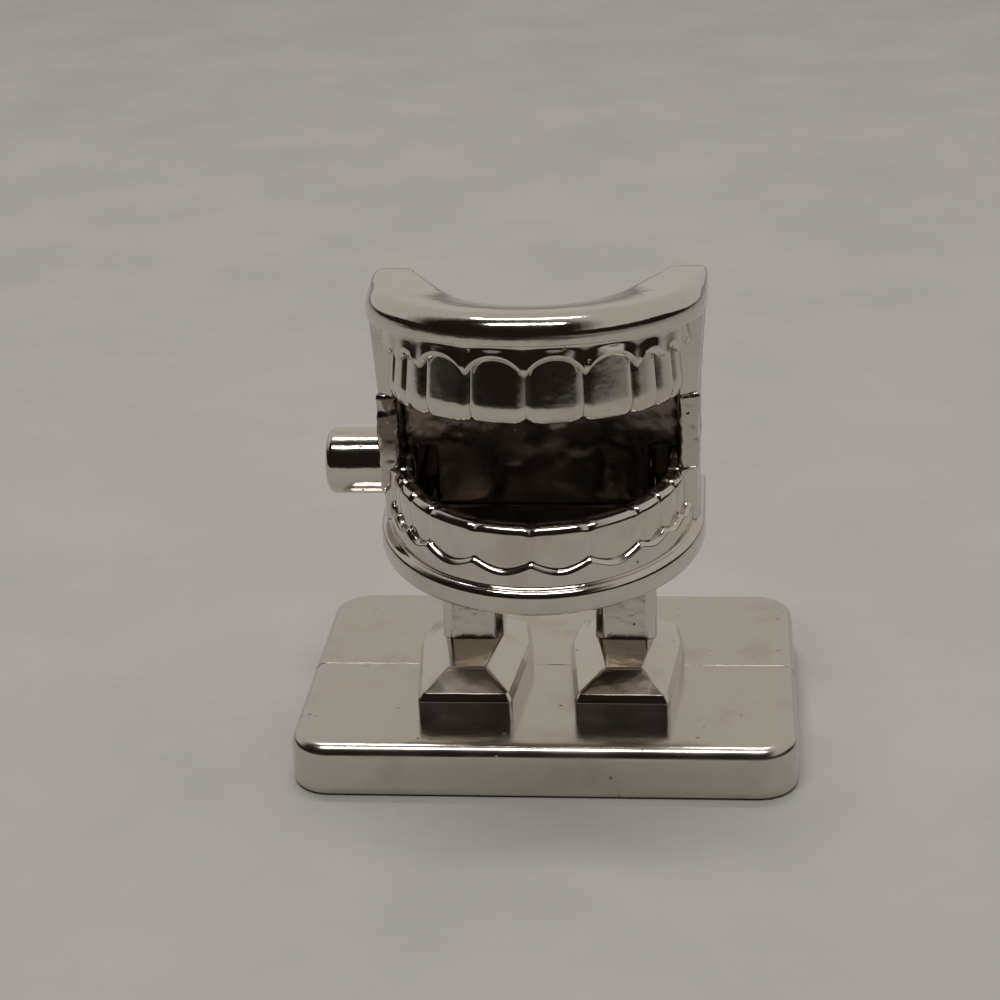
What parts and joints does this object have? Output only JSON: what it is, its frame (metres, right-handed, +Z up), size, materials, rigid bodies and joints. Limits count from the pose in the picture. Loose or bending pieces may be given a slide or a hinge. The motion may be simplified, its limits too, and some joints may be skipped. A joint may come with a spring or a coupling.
{
  "type": "game token",
  "caption": "Plated metal game token: open chattering jaws with rows of teeth and a winding stem, standing on legs with blocky shoes on a rounded base plate.",
  "frame": {"origin": "middle of the base plate's underside", "axes": "+Z up, +X to the right seen from the front, +Y to the back; the teeth face -Y"},
  "size_m": [0.025, 0.0176, 0.0244],
  "materials": {
    "base_plating": "polished plating over a die casting, slightly worn",
    "figure_plating": "bright polished plating over a die casting",
    "mouth_plating": "dull, unpolished plating inside the mouth"
  },
  "bodies": {
    "root": {"base_plate": "base_plating", "left_shoe": "figure_plating", "right_shoe": "figure_plating", "left_leg": "figure_plating", "right_leg": "figure_plating", "lower_jaw": "figure_plating", "lower_teeth": "figure_plating", "mechanism_case": "mouth_plating", "winding_stem": "figure_plating", "upper_jaw": "figure_plating", "upper_teeth": "figure_plating"}
  },
  "joints": []
}
